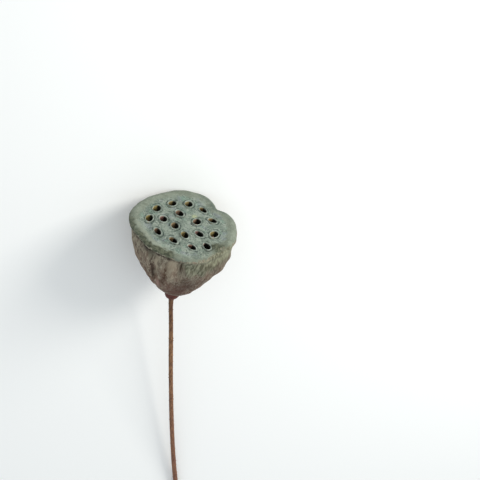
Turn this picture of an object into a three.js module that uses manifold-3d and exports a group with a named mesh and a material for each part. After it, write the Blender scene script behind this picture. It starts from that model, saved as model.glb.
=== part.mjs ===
// Dried lotus pod on its cut stalk, lying on a level surface.
//
// The pod is described upright in its own frame: z = 0 at the neck, the face at z = HEIGHT, x to the right
// and y to the far side. It then lies down on the far side of its rim, on a strong rib there and on the cut
// end of its stalk.
// Millimetres. In the finished frame +Z is up, the stalk runs towards +Y and the face looks to -Y.

import * as THREE from "three";
import { mergeVertices } from "three/addons/utils/BufferGeometryUtils.js";
import Module from "manifold-3d";

// Driving dimensions of the head.
const HEIGHT = 74;            // neck to the level of the face
const RIM_RADIUS = 47;        // mean radius of the rim
const NECK_SHIFT = 6;         // the neck stands this far to the right of the middle of the face
const HEAD_COLUMNS = 72;      // facets round the head
const DOME = 75;              // height of the middle of the face
const DOME_FALL = 1.6;        // how much lower the face is at DOME_RADIUS
const DOME_RADIUS = 32;
const domeHeight = (radius) => DOME - DOME_FALL * (radius / DOME_RADIUS) ** 2;

// Half section of the head, from the neck up the wall, over the rolled rim and in to the middle of the face.
const PROFILE = [
  [0, -1.0],
  [5.8, 0],
  [10, 2.2],
  [15.5, 6.5],
  [21.8, 13.5],
  [28.6, 23],
  [35, 35],
  [40.4, 47],
  [44, 59],
  [45.4, 67],
  [46.4, 69.6],
  [47, 71.4],
  [45.4, 73.2],
  [42, 74.4],
  [37.5, 73.7],
  ...[DOME_RADIUS, 22, 11, 0].map((radius) => [radius, domeHeight(radius)]),
];
const RIM_POINT = 11;         // the point of PROFILE on the widest edge of the rim
const FIRST_CLOSE_POINT = 5;  // from here to the face the section is taken at half points too
const LAST_CLOSE_POINT = 13;

// Lobes and notches of the rim: angle round the face, half width in degrees, millimetres out or in.
const RIM_LOBES = [
  [78, 14, 6.0],
  [100, 15, 4.2],
  [57, 6, -3.7],
  [39, 19, 4.6],
  [-34, 24, -5.5],
  [-100, 40, -1.6],
  [-138, 10, -1.8],
  [140, 20, -0.4],
  [185, 16, 1.2],
  [5, 18, 0.5],
];

// Rise and fall of the rim: angle, half width in degrees, millimetres up.
const RIM_WAVES = [
  [-35, 25, -1.8],
  [104, 38, 2.4],
  [180, 25, 0.5],
];

// Ribs and furrows of the wall, and the hollows under the rim: angle, half width in degrees, height, half
// height, millimetres out or in.
const WALL_RIBS = [
  [-30, 30, 54, 15, 4.0],
  [-165, 35, 38, 18, 1.5],
  [-115, 7, 42, 18, -2.6],
  [-82, 5, 60, 9, -2.0],
  [-96, 9, 34, 20, 1.5],
  [-62, 8, 36, 20, -1.6],
  [-45, 7, 30, 18, 0.9],
  [-140, 8, 40, 20, -1.4],
  [-128, 6, 36, 18, 0.9],
  [-10, 7, 34, 18, -1.2],
  [22, 8, 36, 20, -1.5],
  [42, 8, 38, 20, 1.0],
  [60, 8, 38, 20, -1.7],
  [82, 8, 36, 20, 0.8],
  [106, 10, 48, 20, -2.0],
  [129, 14, 52, 22, 6.2],
  [152, 7, 36, 20, -1.5],
  [168, 7, 34, 20, -1.2],
  [-112, 34, 64, 5, -3.0],
  [25, 28, 64.5, 4.5, -1.4],
  [180, 22, 64.5, 4.5, -1.4],
];
const RIM_FADE_TOP = 70;      // the relief fades out below the rim
const RIM_FADE_DEPTH = 7;
const NECK_FADE_HEIGHT = 10;  // and towards the neck

// Sockets in the face: x, y, radius of the mouth, stretch of the mouth, angle of its long way in degrees.
const SOCKETS = [
  [-26.7, 13.7, 4.1, 1.45, 82],
  [-15.1, 26.3, 3.75, 1.3, 60],
  [-1.1, 31.8, 4.0, 1.25, 81],
  [12.5, 29.8, 3.5, 1.3, 128],
  [-30.3, -2.7, 3.9, 1.6, 90],
  [-18.6, 0.5, 3.75, 1.25, 97],
  [-6.6, 14.3, 3.9, 1.25, 114],
  [9.9, 9.5, 4.0, 1.4, 72],
  [22.9, 18.5, 3.7, 1.15, 10],
  [-7.5, -4.7, 3.9, 1.35, 95],
  [-20.0, -17.6, 3.5, 1.6, 125],
  [14.5, -6.1, 3.6, 1.2, 154],
  [27.1, 0.1, 4.0, 1.5, 70],
  [2.8, -13.3, 3.8, 1.3, 110],
  [-5.4, -23.7, 3.4, 1.5, 143],
  [11.4, -25.4, 3.3, 1.3, 160],
  [23.5, -17.7, 3.7, 1.35, 119],
];
const SOCKET_SIDES = 12;

// Half section of a socket's chamber: radius, height from the face, and how much of the mouth's stretch is
// left.
const CHAMBER_PROFILE = [
  [4.9, -6.8, 0.1],
  [4.9, -11.0, 0],
  [3.8, -14.3, 0],
];
const SOCKET_DEPTH = 16.5;
const MOUTH_ABOVE = 2;        // the cut starts this far above the face
const MOUTH_FLARE = 1.16;     // and is this many times as wide there as the mouth
const MOUTH_DEPTH = 1.4;      // the mouth keeps its size down to here
const THROAT_DEPTH = 3.8;
const THROAT_RADIUS = 4.4;

// Raised cuff round each mouth.
const CUFF_WIDTH = 1.5;
const CUFF_HEIGHT = 0.6;
const CUFF_ROOT = 1.5;        // how far it reaches into the face
const CUFF_SHOULDER = 0.1;    // its outer edge is this far below the face
const CUFF_TOP_WIDTH = 0.9;
const CUFF_SIDES = 12;

// Dry seed in each socket: an egg with a small point.
const SEED_RADIUS = 4.4;
const SEED_HALF_LENGTH = 6.1;
const SEED_DEPTH = 9.5;       // its middle below the face
const SEED_POINT = 0.5;       // length of its point
const SEED_SIDES = 12;
const SEED_ROWS = 7;

// Middle line of the stalk in the head's frame, from inside the neck to the cut end.
const STALK_LINE = [
  [6, 0, 4],
  [6.9, -0.8, -10],
  [14.8, -4, -45],
  [27.3, -8.7, -100],
  [45.1, -14.8, -171.6],
  [64.1, -20.1, -237.7],
  [75.6, -23.2, -268],
];
// Radius of the stalk at distances along it: the neck's knob first, then the thin stalk, thicker at its foot.
const STALK_RADII = [
  [0, 6.6],
  [4.6, 6.5],
  [8.5, 6.6],
  [10.2, 6.0],
  [11.8, 4.6],
  [13, 2.9],
  [16, 2.2],
  [24, 1.95],
  [130, 2.05],
  [290, 2.4],
];
const STALK_SIDES = 12;
const STALK_STEPS = 40;
const KNOB_STEPS = 12;        // finer steps over the knob
const KNOB_LENGTH = 24;

// How the pod lies: spun about its own axis, leaned back and turned, in degrees, and the place of the neck,
// so that the rim, the rib below it and the stalk's end meet the surface, each worn flat there.
const SPIN = -18.7;
const LEAN = -74.49;
const TURN = 180;
const NECK_PLACE = [9.51, -92.66, 29.14];
const GROUND = 1000;          // side of the block that wears the low spots flat

const degrees = THREE.MathUtils.degToRad;

// Smooth hump of height 1 at an angle, all angles in degrees, that fades within its half width.
function hump(angle, middle, halfWidth) {
  const away = THREE.MathUtils.euclideanModulo(angle - middle + 180, 360) - 180;
  return Math.exp(-((away / halfWidth) ** 2));
}

function sumOfHumps(angle, list) {
  return list.reduce((sum, [middle, halfWidth, size]) => sum + size * hump(angle, middle, halfWidth), 0);
}

const rimRadius = (angle) => RIM_RADIUS + sumOfHumps(angle, RIM_LOBES);
const rimWave = (angle) => sumOfHumps(angle, RIM_WAVES);

// How far the ribs and furrows move the wall out at an angle and a height.
function wallRelief(angle, height) {
  let relief = 0;
  for (const [middle, halfWidth, level, halfHeight, size] of WALL_RIBS) {
    relief += size * hump(angle, middle, halfWidth) * Math.exp(-(((height - level) / halfHeight) ** 2));
  }
  const fadeAtRim = THREE.MathUtils.clamp((RIM_FADE_TOP - height) / RIM_FADE_DEPTH, 0, 1);
  const fadeAtNeck = THREE.MathUtils.clamp(height / NECK_FADE_HEIGHT, 0, 1);
  return relief * fadeAtRim * fadeAtNeck;
}

// Height of the face at a point inside the sockets' zone. The lobes of the rim stretch the face with them.
function faceHeight(x, y) {
  const angle = THREE.MathUtils.radToDeg(Math.atan2(y, x));
  const radius = (Math.hypot(x, y) * RIM_RADIUS) / rimRadius(angle);
  return domeHeight(radius) + rimWave(angle) * (radius / RIM_RADIUS) ** 2;
}

// Closed surface through rings of points, with one point at each end. Rings run from the bottom up,
// anticlockwise seen from above.
function ringSolid(bottom, rings, top) {
  const columns = rings[0].length;
  const positions = [bottom, ...rings.flat(), top].flatMap((point) => point.toArray());
  const topIndex = rings.length * columns + 1;
  const at = (ring, column) => 1 + ring * columns + (column % columns);
  const index = [];
  for (let column = 0; column < columns; column += 1) {
    index.push(0, at(0, column + 1), at(0, column));
    index.push(topIndex, at(rings.length - 1, column), at(rings.length - 1, column + 1));
    for (let ring = 0; ring + 1 < rings.length; ring += 1) {
      const a = at(ring, column);
      const b = at(ring, column + 1);
      const c = at(ring + 1, column + 1);
      const d = at(ring + 1, column);
      index.push(a, b, c, a, c, d);
    }
  }
  const geometry = new THREE.BufferGeometry();
  geometry.setAttribute("position", new THREE.Float32BufferAttribute(positions, 3));
  geometry.setIndex(index);
  return geometry;
}

// The same count of angles round a ring, in degrees.
function ringAngles(count) {
  return Array.from({ length: count }, (_, i) => (i * 360) / count - 180);
}

// Point of the head's skin at an angle, for a point of the half section.
function headPoint(angle, radius, height, isFace) {
  const rise = THREE.MathUtils.clamp(height / HEIGHT, 0, 1);
  const lobeShare = isFace ? 1 : rise;
  const lobed = radius * (1 + (rimRadius(angle) / RIM_RADIUS - 1) * lobeShare);
  const out = lobed + (isFace ? 0 : wallRelief(angle, height));
  const up = height + rimWave(angle) * rise * Math.min(radius / RIM_RADIUS, 1) ** 2;
  const x = NECK_SHIFT * (1 - rise) + out * Math.cos(degrees(angle));
  return new THREE.Vector3(x, out * Math.sin(degrees(angle)), up);
}

// The receptacle with its wall, rolled rim and face.
function headGeometry() {
  const section = new THREE.SplineCurve(PROFILE.map(([radius, height]) => new THREE.Vector2(radius, height)));
  const last = PROFILE.length - 1;
  const rings = [];
  for (let place = 1; place < last; place += 0.5) {
    const between = place % 1 !== 0;
    const close = place > FIRST_CLOSE_POINT && place < LAST_CLOSE_POINT;
    if (!between || close) {
      const { x: radius, y: height } = section.getPoint(place / last);
      const isFace = place >= RIM_POINT;
      rings.push(ringAngles(HEAD_COLUMNS).map((angle) => headPoint(angle, radius, height, isFace)));
    }
  }
  const bottom = new THREE.Vector3(NECK_SHIFT, 0, PROFILE[0][1]);
  const top = new THREE.Vector3(0, 0, PROFILE[last][1]);
  return ringSolid(bottom, rings, top);
}

// Ring of an oval: a radius stretched one way and narrowed the other by the same share.
function ovalRing([x, y, , stretch, longWay], sides, radius, height, stretchShare) {
  const longer = Math.sqrt(1 + (stretch - 1) * stretchShare);
  return ringAngles(sides).map((angle) => {
    const along = radius * longer * Math.cos(degrees(angle));
    const across = (radius / longer) * Math.sin(degrees(angle));
    const turn = degrees(longWay);
    const px = x + along * Math.cos(turn) - across * Math.sin(turn);
    const py = y + along * Math.sin(turn) + across * Math.cos(turn);
    return new THREE.Vector3(px, py, height);
  });
}

// The raised ring round a mouth, before the socket is cut through it.
function cuffGeometry(socket) {
  const [x, y, mouth] = socket;
  const level = faceHeight(x, y);
  const rings = [
    ovalRing(socket, CUFF_SIDES, mouth + CUFF_WIDTH, level - CUFF_ROOT, 1),
    ovalRing(socket, CUFF_SIDES, mouth + CUFF_WIDTH, level - CUFF_SHOULDER, 1),
    ovalRing(socket, CUFF_SIDES, mouth + CUFF_TOP_WIDTH, level + CUFF_HEIGHT, 1),
  ];
  const bottom = new THREE.Vector3(x, y, level - CUFF_ROOT);
  const top = new THREE.Vector3(x, y, level + CUFF_HEIGHT);
  return ringSolid(bottom, rings, top);
}

// The hollow of a socket: an oval mouth that widens to a round chamber closed below.
function socketGeometry(socket) {
  const [x, y, mouth] = socket;
  const level = faceHeight(x, y);
  const section = [
    [mouth * MOUTH_FLARE, MOUTH_ABOVE, 1],
    [mouth, 0, 1],
    [mouth, -MOUTH_DEPTH, 1],
    [THROAT_RADIUS, -THROAT_DEPTH, 0.5],
    ...CHAMBER_PROFILE,
  ];
  const rings = section
    .map(([radius, height, share]) => ovalRing(socket, SOCKET_SIDES, radius, level + height, share))
    .reverse();
  const bottom = new THREE.Vector3(x, y, level - SOCKET_DEPTH);
  const top = new THREE.Vector3(x, y, level + MOUTH_ABOVE);
  return ringSolid(bottom, rings, top);
}

// Radius of the stalk at a distance along it, straight between the listed values.
function stalkRadius(distance) {
  const next = STALK_RADII.findIndex(([at]) => at >= distance);
  if (next <= 0) return next === 0 ? STALK_RADII[0][1] : STALK_RADII.at(-1)[1];
  const [d0, r0] = STALK_RADII[next - 1];
  const [d1, r1] = STALK_RADII[next];
  return r0 + ((r1 - r0) * (distance - d0)) / (d1 - d0);
}

// The neck's knob and the stalk: rings square to the middle line, from the cut end up to the neck.
function stalkGeometry() {
  const line = new THREE.CatmullRomCurve3(STALK_LINE.map((point) => new THREE.Vector3(...point)));
  const length = line.getLength();
  const steps = STALK_STEPS + KNOB_STEPS;
  const frames = line.computeFrenetFrames(steps, false);
  const rings = [];
  for (let step = steps; step >= 0; step -= 1) {
    const inKnob = step <= KNOB_STEPS;
    const distance = inKnob
      ? (step / KNOB_STEPS) * KNOB_LENGTH
      : KNOB_LENGTH + ((step - KNOB_STEPS) / STALK_STEPS) * (length - KNOB_LENGTH);
    const middle = line.getPointAt(distance / length);
    const radius = stalkRadius(distance);
    const ring = ringAngles(STALK_SIDES).map((angle) =>
      middle
        .clone()
        .addScaledVector(frames.normals[step], radius * Math.cos(degrees(angle)))
        .addScaledVector(frames.binormals[step], -radius * Math.sin(degrees(angle))),
    );
    rings.push(ring);
  }
  return ringSolid(line.getPointAt(1), rings, line.getPointAt(0));
}

// A seed: a round egg whose upper end draws out to a small point, upright with its middle at the origin.
function seedGeometry() {
  const points = [];
  for (let row = 0; row <= SEED_ROWS; row += 1) {
    const around = (Math.PI * row) / SEED_ROWS;
    const height = -SEED_HALF_LENGTH * Math.cos(around);
    const radius = SEED_RADIUS * Math.sin(around);
    points.push(new THREE.Vector2(row === 0 || row === SEED_ROWS ? 0 : radius, height));
  }
  points.at(-1).y += SEED_POINT;
  return new THREE.LatheGeometry(points, SEED_SIDES);
}

const wasm = await Module();
wasm.setup();

// A closed geometry as a solid that can be joined and cut.
function toSolid(geometry) {
  const bare = geometry.clone();
  bare.deleteAttribute("normal");
  bare.deleteAttribute("uv");
  const merged = mergeVertices(bare, 1e-5);
  const vertProperties = new Float32Array(merged.attributes.position.array);
  const triVerts = new Uint32Array(merged.index.array);
  return new wasm.Manifold(new wasm.Mesh({ numProp: 3, vertProperties, triVerts }));
}

function toGeometry(solid) {
  const mesh = solid.getMesh();
  const geometry = new THREE.BufferGeometry();
  geometry.setAttribute("position", new THREE.Float32BufferAttribute(mesh.vertProperties, 3));
  geometry.setIndex(Array.from(mesh.triVerts));
  return geometry;
}

// From the head's upright frame to the lying pod.
const lying = new THREE.Matrix4()
  .makeTranslation(...NECK_PLACE)
  .multiply(new THREE.Matrix4().makeRotationZ(degrees(TURN)))
  .multiply(new THREE.Matrix4().makeRotationX(degrees(LEAN)))
  .multiply(new THREE.Matrix4().makeRotationZ(degrees(SPIN)));

// Head, cuffs and stalk grown as one piece, with the sockets cut into it.
function podGeometry() {
  let pod = toSolid(headGeometry()).add(toSolid(stalkGeometry()));
  for (const socket of SOCKETS) {
    pod = pod.add(toSolid(cuffGeometry(socket)));
  }
  for (const socket of SOCKETS) {
    pod = pod.subtract(toSolid(socketGeometry(socket)));
  }
  const laid = toSolid(toGeometry(pod).applyMatrix4(lying));
  const below = new THREE.BoxGeometry(GROUND, GROUND, GROUND).translate(0, 0, -GROUND / 2);
  return toGeometry(laid.subtract(toSolid(below)));
}

const driedWall = new THREE.MeshStandardMaterial({ color: 0x7f857a, roughness: 0.92, metalness: 0 });
const seedShell = new THREE.MeshStandardMaterial({ color: 0x5a3f35, roughness: 0.7, metalness: 0 });

const lotusPod = new THREE.Group();

const pod = new THREE.Mesh(podGeometry(), driedWall);
pod.name = "pod";
lotusPod.add(pod);

// The seeds stand in their sockets in the head's frame, so they hang in a group that lies as the head does.
const seeds = new THREE.Group();
seeds.applyMatrix4(lying);
SOCKETS.forEach(([x, y], i) => {
  const seed = new THREE.Mesh(seedGeometry(), seedShell);
  seed.name = `seed_${String(i + 1).padStart(2, "0")}`;
  seed.rotation.x = Math.PI / 2;
  seed.position.set(x, y, faceHeight(x, y) - SEED_DEPTH);
  seeds.add(seed);
});
lotusPod.add(seeds);

export default lotusPod;
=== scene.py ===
"""A dried lotus pod that lies on a table, seen from above.

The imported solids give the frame. The head, the linings of its sockets, the stalk and the seeds are made
here as fine surfaces in their place, from the same driving dimensions. Shapes are worked out in the head's
own frame in millimetres: z = 0 at the neck, the face at z = HEIGHT, x to the right and y to the far side.
place_head() then lays them down, in metres.
"""

import math
from functools import partial

import bpy
import numpy as np
from mathutils import Matrix


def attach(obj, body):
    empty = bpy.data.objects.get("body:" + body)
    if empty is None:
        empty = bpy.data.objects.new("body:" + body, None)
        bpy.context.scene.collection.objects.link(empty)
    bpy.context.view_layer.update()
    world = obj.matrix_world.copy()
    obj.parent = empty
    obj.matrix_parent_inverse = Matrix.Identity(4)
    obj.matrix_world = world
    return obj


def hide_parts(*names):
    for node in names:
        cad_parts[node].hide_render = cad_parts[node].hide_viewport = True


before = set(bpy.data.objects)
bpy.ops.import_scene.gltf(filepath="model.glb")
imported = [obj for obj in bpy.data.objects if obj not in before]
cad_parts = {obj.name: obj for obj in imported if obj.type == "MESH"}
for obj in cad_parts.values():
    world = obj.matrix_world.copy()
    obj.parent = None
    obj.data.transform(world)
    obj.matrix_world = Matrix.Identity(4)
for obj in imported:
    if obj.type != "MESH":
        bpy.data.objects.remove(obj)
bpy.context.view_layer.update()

MM = 0.001
TINY = 1e-6

# The photograph in pixels, and the head's pose in it.
PHOTO_SIDE = 480
FOCAL_PIXELS = 896.0
FACE_PIXEL = (184.0, 225.5)   # the middle of the face
MM_PER_PIXEL = 0.862          # at the middle of the face
FACE_TILT = 53.1              # degrees from the line of sight to the face's normal
FACE_ROLL = 15.7              # degrees the face leans in the picture
SENSOR_WIDTH = 36.0

# How the pod lies: spun about its own axis, leaned back and turned, and the place of its neck.
SPIN = -18.7
LEAN = -74.49
TURN = 180.0
NECK_PLACE = np.array([9.51, -92.66, 29.14])

# The head.
HEIGHT = 74.0
RIM_RADIUS = 47.0
NECK_SHIFT = 6.0
DOME = 75.0
DOME_FALL = 1.6
DOME_RADIUS = 32.0


def dome_height(radius):
    """Height of the middle of the face: a shallow dome that falls with the square of the radius."""
    return DOME - DOME_FALL * (radius / DOME_RADIUS) ** 2


# Half section of the head, from the neck up the wall, over the rolled rim and in to the middle of the face.
SECTION = np.array(
    [
        (0, -1.0),
        (5.8, 0),
        (10, 2.2),
        (15.5, 6.5),
        (21.8, 13.5),
        (28.6, 23),
        (35, 35),
        (40.4, 47),
        (44, 59),
        (45.4, 67),
        (46.4, 69.6),
        (47, 71.4),
        (45.4, 73.2),
        (42, 74.4),
        (37.5, 73.7),
    ]
    + [(radius, dome_height(radius)) for radius in (DOME_RADIUS, 22, 11, 0)]
)
RIM_POINT = 11                # the point of SECTION on the widest edge of the rim
FACE_EDGE_POINT = 13          # where the face's own grid ends and the grid of the wall starts
FACE_EDGE_RADIUS = SECTION[FACE_EDGE_POINT][0]

# Lobes and notches of the rim: angle round the face, half width in degrees, millimetres out or in.
RIM_LOBES = [
    (78, 14, 6.0),
    (100, 15, 4.2),
    (57, 6, -3.7),
    (39, 19, 4.6),
    (-34, 24, -5.5),
    (-100, 40, -1.6),
    (-138, 10, -1.8),
    (140, 20, -0.4),
    (185, 16, 1.2),
    (5, 18, 0.5),
]

# Rise and fall of the rim: angle, half width in degrees, millimetres up.
RIM_WAVES = [(-35, 25, -1.8), (104, 38, 2.4), (180, 25, 0.5)]

# Ribs and furrows of the wall, and the hollows under the rim: angle, half width in degrees, height, half
# height, millimetres out or in.
WALL_RIBS = [
    (-30, 30, 54, 15, 4.0),
    (-165, 35, 38, 18, 1.5),
    (-115, 7, 42, 18, -2.6),
    (-82, 5, 60, 9, -2.0),
    (-96, 9, 34, 20, 1.5),
    (-62, 8, 36, 20, -1.6),
    (-45, 7, 30, 18, 0.9),
    (-140, 8, 40, 20, -1.4),
    (-128, 6, 36, 18, 0.9),
    (-10, 7, 34, 18, -1.2),
    (22, 8, 36, 20, -1.5),
    (42, 8, 38, 20, 1.0),
    (60, 8, 38, 20, -1.7),
    (82, 8, 36, 20, 0.8),
    (106, 10, 48, 20, -2.0),
    (129, 14, 52, 22, 6.2),
    (152, 7, 36, 20, -1.5),
    (168, 7, 34, 20, -1.2),
    (-112, 34, 64, 5, -3.0),
    (25, 28, 64.5, 4.5, -1.4),
    (180, 22, 64.5, 4.5, -1.4),
]

# Narrow creases that the wall has besides: the same numbers.
WALL_CREASES = [
    (-117, 2.2, 57, 5, -0.5),
    (-117, 2.2, 47, 7, -1.4),
    (-116.5, 2.2, 36, 7, -1.1),
    (-83.5, 1.3, 69, 3, -0.9),
    (-81, 1.5, 64, 5, -1.4),
    (-79.5, 1.5, 58, 5, -1.1),
    (-98, 3, 46, 10, -0.8),
    (-91, 3, 50, 12, 0.6),
    (-110, 3.5, 45, 14, 0.7),
]

# Hollows right under the lip, which make it overhang: the same numbers.
LIP_OVERHANG = [
    (-148, 14, 68.0, 1.8, -1.6),
    (-122, 16, 68.4, 1.9, -2.0),
    (-98, 12, 68.9, 1.7, -1.4),
]

# Colours that lie in patches on the wall, with painted shade in the shade patches: angle, half width in
# degrees, height, half height, strength.
WALL_PATCHES = {
    # painted shade in the furrow and the crease, at the lip's fold on the right and over parts of the wall
    "shade": [
        (-117, 1.6, 49, 5, 0.7),
        (-116.7, 2.0, 42, 5, 0.75),
        (-116.4, 2.0, 35, 5, 0.75),
        (-83.5, 1.1, 69, 2.5, 0.8),
        (-79.7, 1.0, 61, 6, 0.9),
        (-18, 24, 60, 12, 0.3),
        (-22, 10, 72.5, 1.8, 0.55),
        (-68, 8, 46, 8, 0.3),
        (-60, 18, 32, 12, 0.5),
        (-46, 18, 64, 7, 0.3),
        (-30, 20, 56, 9, 0.25),
    ],
    "rust": [
        (-97, 2.6, 52, 7, 1.0),
        (-96, 3.4, 42, 7, 1.0),
        (-99, 3.0, 34, 6, 1.0),
        (-104, 2.0, 31, 4, 0.8),
        (-128, 8, 27, 9, 0.6),
        (-145, 8, 24, 8, 0.4),
        (-76, 24, 13, 7, 0.6),
        (-134, 6, 50, 8, 0.35),
    ],
    "mauve": [
        (-74, 18, 22, 11, 0.8),
        (-62, 14, 34, 12, 0.4),
        (-88, 6, 34, 8, 0.4),
    ],
    "blush": [
        (-108.5, 3.5, 26, 6, 0.8),
    ],
    "pale": [
        (-90, 5, 64, 6, 0.75),
        (-95, 5, 55, 8, 0.5),
        (-88, 5, 48, 8, 0.35),
        (-111, 3, 58, 9, 0.5),
    ],
    "lichen": [
        (-72, 10, 66, 6, 0.8),
        (-52, 18, 63, 7, 1.0),
        (-22, 24, 69, 8, 1.0),
        (-62, 10, 57, 6, 0.5),
        (-88, 6, 70, 2, 0.4),
        (-118, 14, 63, 3, 0.4),
        (-155, 14, 66, 4, 0.4),
    ],
    "moss": [
        (-46, 5, 66, 1.6, 0.5),
        (-35, 6, 64, 2.0, 0.5),
        (-18, 12, 67, 5, 0.4),
    ],
}

# Painted shadow under the lip's edge: the same numbers.
LIP_SHADOW = [
    (-148, 16, 67.8, 1.5, 0.8),
    (-122, 17, 68.2, 1.6, 0.9),
    (-98, 11, 68.8, 1.3, 0.75),
    (-126, 12, 65.0, 3.5, 0.7),
]

# How dark the lip is painted at angles round the face, for its olive colour and painted shade on its
# down-turned slope: angle, half width in degrees, strength.
LIP_STRENGTH = [(-165, 22, 0.6), (-128, 24, 0.8), (-104, 14, 1.0), (-56, 24, 0.35), (-24, 12, 0.95)]

# Angle and half width in degrees of what the skin shows on one side only.
CREST_HIGHLIGHT = (-130, 34)            # the crest inside the lip has a painted highlight
HEM_HIGHLIGHT = (-125, 30)              # the lip's edge has a painted highlight
LIP_REACH = (-98, 13)         # the lip's dark band is wider
FIBRE_REACH = (-30, 36)       # the wall's fibre reaches up over the rim
BLOOM_REACH = (-62, 30)       # the bloom reaches out to the lip
DIP_SHADE = (60, 26)                # painted shade on the margin

# Spot of yellow lichen on the face: x, y and radius.
YELLOW_SPOT = (7.0, 16.0, 2.8)

# Relief of the skin in millimetres: the height of hills and ribs, and how far the skin is sunk to leave them
# room under the plain shape.
FACE_SWELL = 0.22
FACE_PUCKER = 0.1
FACE_GRAIN = 0.07
FACE_SINK = 0.14
MARGIN_SINK = 0.1
MARGIN_CALM = 0.75            # share of the hills that the margin lacks
RIM_SWELL = 0.12
WALL_SWELL = 0.25
WALL_WRINKLE = 0.12
WALL_RIB = 0.25
WALL_SINK = 0.3

# Groove round each cuff: its distance from the mouth's edge, its half width and its depth.
GROOVE_DISTANCE = 2.0
GROOVE_HALF_WIDTH = 0.6
GROOVE_DEPTH = 0.4

# Where the wall's ribs and furrows fade out: under the rim, over a depth, and over a height at the neck.
RIM_FADE_TOP = 70.0
RIM_FADE_DEPTH = 7.0
NECK_FADE_HEIGHT = 10.0

# Sockets in the face: x, y, radius of the mouth, stretch of the mouth, angle of its long way in degrees.
SOCKETS = [
    (-26.7, 13.7, 4.1, 1.45, 82),
    (-15.1, 26.3, 3.75, 1.3, 60),
    (-1.1, 31.8, 4.0, 1.25, 81),
    (12.5, 29.8, 3.5, 1.3, 128),
    (-30.3, -2.7, 3.9, 1.6, 90),
    (-18.6, 0.5, 3.75, 1.25, 97),
    (-6.6, 14.3, 3.9, 1.25, 114),
    (9.9, 9.5, 4.0, 1.4, 72),
    (22.9, 18.5, 3.7, 1.15, 10),
    (-7.5, -4.7, 3.9, 1.35, 95),
    (-20.0, -17.6, 3.5, 1.6, 125),
    (14.5, -6.1, 3.6, 1.2, 154),
    (27.1, 0.1, 4.0, 1.5, 70),
    (2.8, -13.3, 3.8, 1.3, 110),
    (-5.4, -23.7, 3.4, 1.5, 143),
    (11.4, -25.4, 3.3, 1.3, 160),
    (23.5, -17.7, 3.7, 1.35, 119),
]

# Colour of each lining, from 0 = ochre to 1 = pink.
LINING_TINTS = [0.05, 0.2, 0.25, 0.35, 0.0, 1.0, 0.75, 0.75, 0.4, 0.5, 0.75, 1.0, 0.05, 0.15, 0.45, 0.9, 0.95]

# Sockets by number whose painted shade spreads further round, as a share of their half width.
SHADE_SPREAD = {8: 0.15, 11: 0.15, 12: 0.3, 17: 0.6}

CUFF_WAVER = 0.16             # how far a cuff's outline wavers in and out
CUFF_BUMP = 0.45              # how far its height varies, as a share

# Hollow that the head's skin leaves for a socket's lining: distance from the socket's middle on the plain
# face as a share of the mouth's radius or past it, then where that point goes: radius, and height from the
# face. A row counts its lengths from the mouth's edge where its second number is 1. The hollow's edge hides
# under the raised cuff.
SKIN_HOLLOW = np.array(
    [
        (-1.0, 0, 0, -17.5),
        (-0.7, 0, 2.8, -17.3),
        (-0.5, 0, 4.6, -15.4),
        (-0.3, 0, 5.4, -11.2),
        (-0.12, 0, 5.3, -6.5),
        (0.2, 1, 0.9, -3.4),
        (0.5, 1, 0.5, -1.6),
        (0.75, 1, 0.6, -0.8),
        (1.0, 1, 0.85, -0.35),
        (1.3, 1, 1.25, -0.12),
        (1.8, 1, 1.8, 0),
    ]
)

# Section of a lining, from the middle of its underside, up its outside, over the cuff and down the socket:
# radius, whether the radius is on top of the mouth's, height from the face, share of the mouth's stretch.
LINING_SECTION = np.array(
    [
        (0, 0, -16.9, 0),
        (2.2, 0, -16.4, 0),
        (4.0, 0, -14.6, 0),
        (4.95, 0, -11.2, 0),
        (4.95, 0, -6.8, 0.1),
        (4.5, 0, -3.6, 0.6),
        (0.85, 1, -1.9, 1),
        (1.0, 1, -1.0, 1),
        (1.0, 1, -0.35, 1),
        (0.9, 1, 0.02, 1),
        (0.74, 1, 0.28, 1),
        (0.52, 1, 0.42, 1),
        (0.32, 1, 0.4, 1),
        (0.15, 1, 0.2, 1),
        (0.02, 1, -0.15, 1),
        (-0.03, 1, -0.7, 1),
        (0.02, 1, -1.4, 1),
        (4.15, 0, -3.6, 0.6),
        (4.6, 0, -6.8, 0.1),
        (4.6, 0, -11.0, 0),
        (3.6, 0, -14.3, 0),
        (2.0, 0, -15.9, 0),
        (0, 0, -16.3, 0),
    ]
)

# A seed: an egg with a small point, its middle SEED_DEPTH below the face.
SEED_RADIUS = 4.15
SEED_HALF_LENGTH = 5.9
SEED_DEPTH = 9.6
SEED_TIP = 0.6
SEED_LEAN = (2, 6)            # least and most lean in degrees, of which the shape shears by half

# Middle line of the stalk, from inside the neck to the cut end, and its radius at distances along it.
STALK_LINE = np.array(
    [
        (6, 0, 4),
        (6.9, -0.8, -10),
        (14.8, -4, -45),
        (27.3, -8.7, -100),
        (45.1, -14.8, -171.6),
        (64.1, -20.1, -237.7),
        (75.6, -23.2, -268),
    ]
)
STALK_RADII = np.array(
    [
        (0, 6.6),
        (4.6, 6.5),
        (8.5, 6.6),
        (10.2, 6.0),
        (11.8, 4.6),
        (13, 2.9),
        (16, 2.2),
        (24, 1.95),
        (130, 2.05),
        (290, 2.4),
    ]
)
KNOB_END = (11.5, 14.0)       # where the knob gives way to the stalk
KNOB_RADIUS = 5.6

# Leaf scars of the knob: distance along the stalk and side in radians.
KNOB_SCARS = ((8.4, 0.4), (9.6, 1.5), (8.2, 2.7), (9.7, 3.7), (8.6, 4.7), (9.5, 5.7))
SCAR_DEPTH = 0.6
SCAR_RADIUS = 1.0

# Fine ribs of the stalk: how many go round it, the length along which they turn by a radian, their height.
STALK_RIBS = ((7, 31, 0.07), (11, -23, 0.05))

# Prickles of the stalk: how many, the stalk's rough radius there, least and most height and half width.
PRICKLES = 210
PRICKLED_RADIUS = 2.0
PRICKLE_HEIGHT = (0.12, 0.42)
PRICKLE_WIDTH = (0.45, 0.8)

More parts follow.
